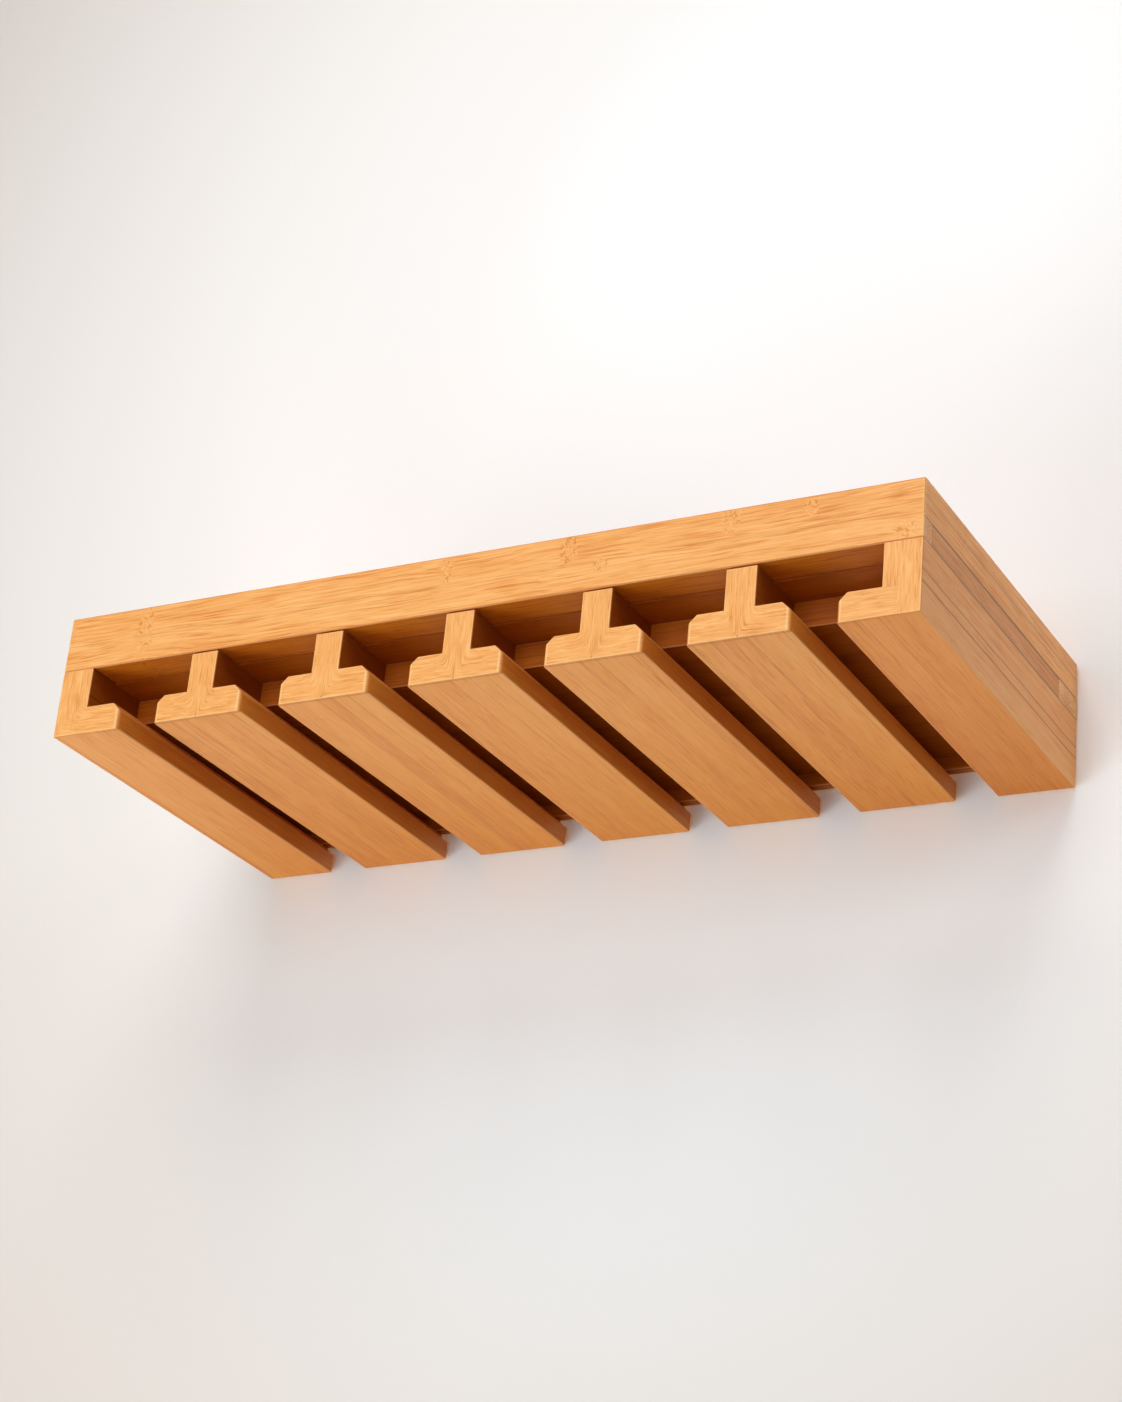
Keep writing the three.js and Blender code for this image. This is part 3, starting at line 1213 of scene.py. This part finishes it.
@dataclass
class TeeRails(Rails):
    """The five T rails: a wide foot with chamfered shoulders under a stem."""

    count: int = 5

    def build(self) -> None:
        """Builds every T rail."""
        for number in range(1, self.count + 1):
            self._foot(number)
            self._stem(number)

    def _foot(self, number: int) -> None:
        """One foot, its front corners rounded where they point into the slots.

        Args:
            number: The rail's number, counted from the left.
        """
        node = f"rail_foot_{number}"
        low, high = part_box(node)
        top, edge = high.z, self.arris
        side, corner = self.front_corner, self.shoulder
        section = (
            Corner(low.x, low.z, self.arris, edge, edge),
            Corner(high.x, low.z, self.arris, side, edge),
            Corner(high.x, top - self.chamfer, corner, edge, edge),
            Corner(high.x - self.chamfer, top, corner, edge, edge),
            Corner(low.x + self.chamfer, top, corner, edge, edge),
            Corner(low.x, top - self.chamfer, corner, side, edge),
        )
        surface = carried(section, (low.y, high.y), Sweep.ALONG_Y)
        centre = ((low.x + high.x) / 2, 0, 0)
        self.workshop.piece(node, "rail_bamboo", surface, Dress(TEE, number, centre, centre))

    def _stem(self, number: int) -> None:
        """One stem, whose lower end fills the easing of the foot's top under it.

        Args:
            number: The rail's number, counted from the left.
        """
        node = f"rail_stem_{number}"
        low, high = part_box(node)
        section = (
            Corner(low.x, low.z, 0, -self.arris, -self.arris),
            Corner(high.x, low.z, 0, self.arris, self.arris),
            Corner(high.x, high.z, self.shoulder, self.shoulder, self.shoulder),
            Corner(low.x, high.z, self.shoulder, self.arris, self.arris),
        )
        surface = carried(section, (low.y, high.y), Sweep.ALONG_Y)
        centre = ((low.x + high.x) / 2, 0, 0)
        self.workshop.piece(node, "rail_bamboo", surface, Dress(TEE, number, centre, centre))


@dataclass
class EndRails(Rails):
    """The two end rails: a tall upright, rebated over a foot that reaches into the rack."""

    rebate: float = 0.010
    groove: float = 0.0003
    straight_offset: float = 0.1

    def build(self) -> None:
        """Builds both end rails. The grain of the left one's front bends; the right one's shows its joint."""
        foot, upright = self._foot(), self._upright()
        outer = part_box("right_upright")[1].x
        right, left = (outer, 0, 0), (-outer, 0, 0)
        straight = self.straight_offset
        for node, surface, dress in (
            ("right_foot", foot, Dress(RIGHT_END, 6.0, right, (outer + straight, 0, 0))),
            ("right_upright", upright, Dress(RIGHT_END, 7.0, right, (outer, 0, -straight))),
            ("left_foot", foot.mirrored(), Dress(END, 8.0, left, left)),
            ("left_upright", upright.mirrored(), Dress(END, 8.0, left, left)),
        ):
            self.workshop.piece(node, "rail_bamboo", surface, dress)

    def _foot(self) -> Surface:
        """The right foot, flat against the rebate.

        Returns:
            The closed surface.
        """
        low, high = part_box("right_foot")
        edge = self.arris
        section = (
            Corner(low.x, low.z, self.arris, edge, edge),
            Corner(high.x, low.z, 0, self.groove, 0),
            Corner(high.x, high.z, 0, edge, edge),
            Corner(low.x + self.chamfer, high.z, self.shoulder, edge, edge),
            Corner(low.x, high.z - self.chamfer, self.shoulder, self.front_corner, edge),
        )
        return carried(section, (low.y, high.y), Sweep.ALONG_Y)

    def _upright(self) -> Surface:
        """The right upright, which fills the easing of the foot's top under its rebate.

        Returns:
            The closed surface.
        """
        low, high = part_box("right_upright")
        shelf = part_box("right_foot")[1].z
        edge = self.arris
        section = (
            Corner(low.x + self.rebate, low.z, 0, edge, edge),
            Corner(high.x, low.z, self.arris, edge, edge),
            Corner(high.x, high.z, 0.0004, 0.0005, 0.0005),
            Corner(low.x, high.z, 0, edge, edge),
            Corner(low.x, shelf, 0, -edge, -edge),
            Corner(low.x + self.rebate, shelf),
        )
        return carried(section, (low.y, high.y), Sweep.ALONG_Y)


@dataclass
class TopFrame:
    """The mitred frame on top: front bar, rear rail, side rails, and the strips under the side rails.

    The frame's upright corners are rounded to a quarter circle of radius r, which each mitre cuts at its
    middle: there the surface stands r (1 - 1/sqrt 2) in from both faces. The tangent there meets a face
    r (2 - sqrt 2) from the corner, and the rounding between them reaches r (sqrt 2 - 1) along both.
    """

    workshop: Workshop
    arris: float = 0.001
    corner: float = 0.0014
    joint: float = 0.00035

    @property
    def cut(self) -> float:
        """How far in from both faces a mitre's tip stands."""
        return self.corner * (1 - math.sqrt(0.5))

    @property
    def bend(self) -> float:
        """How far from the corner the tip's tangent meets a face."""
        return self.corner * (2 - math.sqrt(2))

    @property
    def rounding(self) -> float:
        """How far the rounding between that tangent and the face reaches."""
        return self.corner * (math.sqrt(2) - 1)

    def build(self) -> None:
        """Builds the frame's six pieces."""
        side, strip = self._side_rail(), self._side_strip()
        for node, slot, surface, dress in (
            ("front_bar", "bar_bamboo", self._front_bar(), Dress(BAR, 1.3)),
            ("rear_rail", "bar_bamboo", self._rear_rail(), Dress(REAR, 2.9)),
            ("right_side_rail", "side_bamboo", side, Dress(SIDE_RAIL, 3.1)),
            ("left_side_rail", "side_bamboo", side.mirrored(), Dress(SIDE_RAIL, 4.3)),
            ("right_side_strip", "side_bamboo", strip, Dress(SIDE_STRIP, 5.7)),
            ("left_side_strip", "side_bamboo", strip.mirrored(), Dress(SIDE_STRIP, 6.1)),
        ):
            self.workshop.piece(node, slot, surface, dress)

    def _front_bar(self) -> Surface:
        """The front bar: a mitred upper board, and a lower one lapped over the side strips.

        Returns:
            The two boards' surfaces as one.
        """
        low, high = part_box("front_bar")
        strip_low, strip_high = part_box("right_side_strip")
        back, lap, inner = high.y, strip_low.y, strip_low.x
        edge, joint = self.arris, self.joint
        upper = (
            Corner(low.x + self.bend, low.y, self.rounding, 0, edge),
            Corner(high.x - self.bend, low.y, self.rounding, 0, edge),
            Corner(high.x - self.cut, low.y + self.cut, 0, 0, joint),
            Corner(inner, back, 0, 0, edge),
            Corner(-inner, back, 0, 0, joint),
            Corner(low.x + self.cut, low.y + self.cut, 0, 0, edge),
        )
        lower = (
            Corner(low.x, low.y, self.corner, edge, 0),
            Corner(high.x, low.y, self.corner, joint, 0),
            Corner(high.x, lap, joint),
            Corner(inner, lap),
            Corner(inner, back, 0, joint, 0),
            Corner(-inner, back),
            Corner(-inner, lap),
            Corner(low.x, lap, joint, joint, 0),
        )
        top = carried(upper, (strip_high.z, high.z), Sweep.ALONG_Z)
        return top.joined(carried(lower, (low.z, strip_high.z), Sweep.ALONG_Z))

    def _rear_rail(self) -> Surface:
        """The rear rail, mitred at both ends.

        Returns:
            The closed surface.
        """
        low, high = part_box("rear_rail")
        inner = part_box("right_side_strip")[0].x
        edge, joint = self.arris, self.joint
        section = (
            Corner(-inner, low.y, 0, 0, edge),
            Corner(inner, low.y, 0, 0, joint),
            Corner(high.x - self.cut, high.y - self.cut, 0, joint, edge),
            Corner(high.x - self.bend, high.y, self.rounding, joint, edge),
            Corner(low.x + self.bend, high.y, self.rounding, joint, edge),
            Corner(low.x + self.cut, high.y - self.cut, 0, 0, joint),
        )
        return carried(section, (low.z, high.z), Sweep.ALONG_Z)

    def _side_rail(self) -> Surface:
        """The right side rail, mitred at both ends.

        Returns:
            The closed surface.
        """
        low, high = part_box("right_side_rail")
        front_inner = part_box("front_bar")[1].y
        rear_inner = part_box("rear_rail")[0].y
        edge, joint = self.arris, self.joint
        section = (
            Corner(low.x, front_inner, 0, 0, joint),
            Corner(high.x - self.cut, low.y + self.cut, 0, joint, edge),
            Corner(high.x, low.y + self.bend, self.rounding, joint, edge),
            Corner(high.x, high.y - self.bend, self.rounding, joint, edge),
            Corner(high.x - self.cut, high.y - self.cut, 0, 0, joint),
            Corner(low.x, rear_inner, 0, 0, edge),
        )
        return carried(section, (low.z, high.z), Sweep.ALONG_Z)

    def _side_strip(self) -> Surface:
        """The right side strip, with fine eased edges along its joints.

        Returns:
            The closed surface.
        """
        low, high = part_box("right_side_strip")
        joint = self.joint
        section = (
            Corner(low.x, low.z),
            Corner(high.x, low.z, joint, joint, joint),
            Corner(high.x, high.z, joint),
            Corner(low.x, high.z),
        )
        return carried(section, (low.y, high.y), Sweep.ALONG_Y)


@dataclass
class InnerBoards:
    """The battens that the rails hang from, and the boards that close the channels from above and behind."""

    workshop: Workshop
    slots: int = 6
    arris: float = 0.0008
    bevel: float = 0.0007
    long_edge: float = 0.012

    def build(self) -> None:
        """Builds the two battens, the channel boards and the rear stops."""
        self._batten("front_batten", 2.2)
        self._batten("rear_batten", 3.4)
        for number in range(1, self.slots + 1):
            self._board(f"channel_board_{number}", number + 0.3)
            self._board(f"rear_stop_{number}", number + 0.6)

    def _board(self, node: str, seed: float) -> None:
        """A plain board between two stems, with its long edges eased.

        Args:
            node: The solid's name.
            seed: The board's own number, which shifts its grain.
        """
        low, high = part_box(node)
        edge = self.arris
        section = (
            Corner(low.y, low.z, edge),
            Corner(high.y, low.z, edge),
            Corner(high.y, high.z, edge),
            Corner(low.y, high.z, edge),
        )
        surface = carried(section, (low.x, high.x), Sweep.ALONG_X)
        self.workshop.piece(node, "inner_bamboo", surface, Dress(INNER, seed))

    def _batten(self, node: str, seed: float) -> None:
        """A batten with its screw holes: a merged copy of the solid, whose long outer edges are bevelled.

        Args:
            node: The solid's name.
            seed: The board's own number, which shifts its grain.
        """
        shell = bmesh.new()
        shell.from_mesh(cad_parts[node].data)
        bmesh.ops.remove_doubles(shell, verts=shell.verts, dist=1e-6)
        bmesh.ops.dissolve_limit(shell, angle_limit=0.01, verts=shell.verts, edges=shell.edges)
        weight = shell.edges.layers.float.new("bevel_weight_edge")
        for edge in shell.edges:
            if edge.is_convex and edge.calc_length() > self.long_edge:
                edge[weight] = 1.0
        mesh = bpy.data.meshes.new(f"{node}_mesh")
        shell.to_mesh(mesh)
        shell.free()
        mesh.materials.clear()
        mesh.shade_smooth()
        mesh.set_sharp_from_angle(angle=self.workshop.smooth_angle)
        self.workshop.dressed(node, "inner_bamboo", mesh, Dress(INNER, seed), self.bevel)


@dataclass
class Screws:
    """The countersunk screws that carry the rails, turned, with a cross drive."""

    workshop: Workshop
    count: int = 14
    shank: float = 0.002
    head: float = 0.004
    head_height: float = 0.0024
    rim: float = 0.0004
    rim_drop: float = 0.4
    rim_inset: float = 0.6
    tip: float = 0.005
    tip_share: float = 0.1
    centre_share: float = 0.02
    drive_reach: float = 0.0021
    drive_half_width: float = 0.0006
    drive_depth: float = 0.0014
    drive_wall: float = 0.3
    turns: int = 64
    drive_rings: int = 14

    def build(self) -> None:
        """Builds every screw."""
        for number in range(1, self.count + 1):
            node = f"screw_{number}"
            low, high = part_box(node)
            surface = self._turned((low.x + high.x) / 2, (low.y + high.y) / 2, low.z, high.z)
            self.workshop.piece(node, "screw_steel", surface, Dress(PlatedSteel()))

    def _turned(self, x: float, y: float, bottom: float, top: float) -> Surface:
        """One screw: a profile turned about its axis, with the drive pressed into its top.

        The drive's depth at a place of the top is full where the place lies within half the drive's width of
        either axis and within its reach, and falls off smoothly over the wall between.

        Args:
            x: The axis in X.
            y: The axis in Y.
            bottom: The tip's level.
            top: The head's level.

        Returns:
            The closed surface.
        """
        profile = np.array(
            (
                (self.shank * self.tip_share, bottom),
                (self.shank, bottom + self.tip),
                (self.shank, top - self.head_height),
                (self.head, top - self.rim),
                (self.head, top - self.rim * self.rim_drop),
                (self.head - self.rim * self.rim_inset, top),
            )
        )
        inner = np.linspace(profile[-1, 0], self.head * self.centre_share, self.drive_rings + 2)[1:]
        radius = np.concatenate((profile[:, 0], inner))
        level = np.concatenate((profile[:, 1], np.full(len(inner), top)))
        angle = np.linspace(0, 2 * math.pi, self.turns, endpoint=False)
        u = radius[:, None] * np.cos(angle)
        v = radius[:, None] * np.sin(angle)
        narrow = np.minimum(np.abs(u), np.abs(v)) / self.drive_half_width
        far = np.maximum(np.abs(u), np.abs(v)) / self.drive_reach
        wall = np.clip((1 + self.drive_wall / 2 - np.maximum(narrow, far)) / self.drive_wall, 0, 1)
        press = wall**2 * (3 - 2 * wall) * self.drive_depth
        press[: len(profile)] = 0
        rings = np.stack((x + u, y + v, level[:, None] - press), axis=2)
        return closed_tube(rings, Sweep.ALONG_Z)


@dataclass(frozen=True)
class Lamp:
    """A square soft lamp that looks at the rack."""

    name: str
    place: tuple[float, float, float]
    size: float
    power: float


@dataclass
class Studio:
    """The backdrop, the lamps and the camera."""

    eye: tuple[float, float, float] = (0.8671, -1.4852, -0.7295)
    aim: tuple[float, float, float] = (0.0005, 0.0, 0.0428)
    roll: float = math.radians(5.51)
    focal_pixels: float = 2941.7
    picture_height_pixels: float = 1402.0
    sensor_mm: float = 36.0
    wall_gap: float = 0.002
    wall_size: float = 4.6
    # The wall's painted light: a lit pool and glow round this spot, and painted shade away from it
    painted_light_spot: tuple[float, float] = (0.12, 0.42)
    painted_glow: float = 0.09
    paint_scale: float = 0.8
    painted_glow_reach: Span = (0.38, 0.1)
    # A painted cooler tint under the rack, against the warm light that its wood casts on the wall
    cool: Colour = (0.97, 1.06, 1.12)
    cool_reach: Span = (0.5, 0.1)
    cool_drop: float = 0.05
    # Painted light and shade on the wall, by distance from the spot
    paint: tuple[tuple[float, Colour], ...] = (
        (0.12, linear(255, 255, 255)),
        (0.40, linear(252, 249, 246)),
        (0.60, linear(241, 236, 231)),
        (0.80, linear(229, 221, 214)),
    )
    ambient: float = 0.1
    lamps: tuple[Lamp, ...] = (
        Lamp("front", (0.0, -3.0, 0.1), 1.4, 32.0),
        Lamp("top", (0.3, -2.0, 1.6), 1.4, 27.5),
        Lamp("right", (2.2, -0.5, 1.0), 1.0, 12.0),
        Lamp("left_below", (-2.0, -1.2, -1.6), 1.4, 27.0),
        Lamp("below", (-0.8, -1.2, -2.0), 1.6, 13.5),
        Lamp("behind", (0.0, 2.0, 1.8), 0.9, 19.0),
    )

    def build(self) -> None:
        """Builds the studio."""
        bpy.context.scene.view_settings.view_transform = "Standard"
        self._camera()
        self._backdrop()
        self._world()
        for lamp in self.lamps:
            self._lamp(lamp)

    def _turn(self, place: Sequence[float]) -> Matrix:
        """The turn that makes what stands at a place look at the rack."""
        return (Vector(self.aim) - Vector(place)).to_track_quat("-Z", "Y").to_matrix()

    def _camera(self) -> None:
        """A camera where the photograph's stood, which looks up at the rack from its right."""
        data = bpy.data.cameras.new("camera")
        data.sensor_width = self.sensor_mm
        data.lens = self.focal_pixels * self.sensor_mm / self.picture_height_pixels
        data.clip_end = 50.0
        camera = placed("camera", data)
        turn = self._turn(self.eye) @ Matrix.Rotation(self.roll, 3, "Z")
        camera.matrix_world = Matrix.Translation(self.eye) @ turn.to_4x4()
        bpy.context.scene.camera = camera

    def _backdrop(self) -> None:
        """A pale wall close behind the rack, seen from its front only."""
        half = self.wall_size / 2
        back = cad_bounds[1][1] + self.wall_gap
        corners = [(-half, back, -half), (half, back, -half), (half, back, half), (-half, back, half)]
        mesh = bpy.data.meshes.new("wall")
        mesh.from_pydata(corners, [], [(0, 1, 2, 3)])
        mesh.materials.append(self._paint())
        wall = placed("wall", mesh)

    def _paint(self) -> bpy.types.Material:
        """Matt white paint, clear from behind and to the lamp there.

        It has a painted pool of light with a painted glow round one spot, painted shade that grows warmer and
        darker away from it, and a painted cooler tint under the rack, against the warm light that its wood
        casts there.

        Returns:
            The material.
        """
        graph = ShaderGraph(bpy.data.materials.new("backdrop_paint"))
        x, _, z = graph.split(graph.node("ShaderNodeTexCoord", {}, {}).outputs["Object"])
        away = ((x - self.painted_light_spot[0]) ** 2.0 + (z - self.painted_light_spot[1]) ** 2.0) ** 0.5
        below = (x**2.0 + (z + self.cool_drop) ** 2.0) ** 0.5
        colour = graph.ramp(away * self.paint_scale, self.paint)
        cool = graph.mix(below.rise(*self.cool_reach), WHITE, self.cool)
        # Painted glow round the spot: the wall gives off light though it is no lamp
        painted_glow = away.rise(*self.painted_glow_reach) * self.painted_glow
        inputs = {
            "Base Color": graph.multiplied(colour, cool),
            "Roughness": 1.0,
            "Specular IOR Level": 0.0,
            "Emission Color": graph.vector(painted_glow, painted_glow, painted_glow),
            "Emission Strength": 1.0,
        }
        paint = graph.node("ShaderNodeBsdfPrincipled", {}, inputs)
        clear = graph.node("ShaderNodeBsdfTransparent", {}, {})
        behind = graph.signal("ShaderNodeNewGeometry", {}, {}, "Backfacing")
        shadow = graph.signal("ShaderNodeLightPath", {}, {}, "Is Shadow Ray")
        inputs = {0: behind.most(shadow), 1: paint.outputs[0], 2: clear.outputs[0]}
        return graph.finished(graph.node("ShaderNodeMixShader", {}, inputs).outputs[0])

    def _world(self) -> None:
        """An even dim world, which the camera and reflections see as white."""
        world = bpy.data.worlds.new("world")
        graph = ShaderGraph(world)
        rays = graph.node("ShaderNodeLightPath", {}, {}).outputs
        seen = [Signal(graph, rays[f"Is {kind} Ray"]) for kind in ("Camera", "Glossy", "Transmission")]
        strength = self.ambient + seen[0].most(seen[1]).most(seen[2]) * (1 - self.ambient)
        inputs = {"Color": (*WHITE, 1.0), "Strength": strength}
        background = graph.node("ShaderNodeBackground", {}, inputs)
        graph.finished(background.outputs[0], "ShaderNodeOutputWorld")
        bpy.context.scene.world = world

    def _lamp(self, lamp: Lamp) -> None:
        """One lamp.

        Args:
            lamp: The lamp.
        """
        data = bpy.data.lights.new(lamp.name, "AREA")
        data.size = lamp.size
        data.energy = lamp.power
        light = placed(lamp.name, data)
        light.matrix_world = Matrix.Translation(lamp.place) @ self._turn(lamp.place).to_4x4()


def main() -> None:
    """Builds the rack's sub-assemblies in order, and then the studio."""
    logging.basicConfig(level=logging.INFO)
    workshop = Workshop()
    for assembly in (TeeRails, EndRails, TopFrame, InnerBoards, Screws):
        assembly(workshop).build()
    Studio().build()


if __name__ == "__main__":
    main()
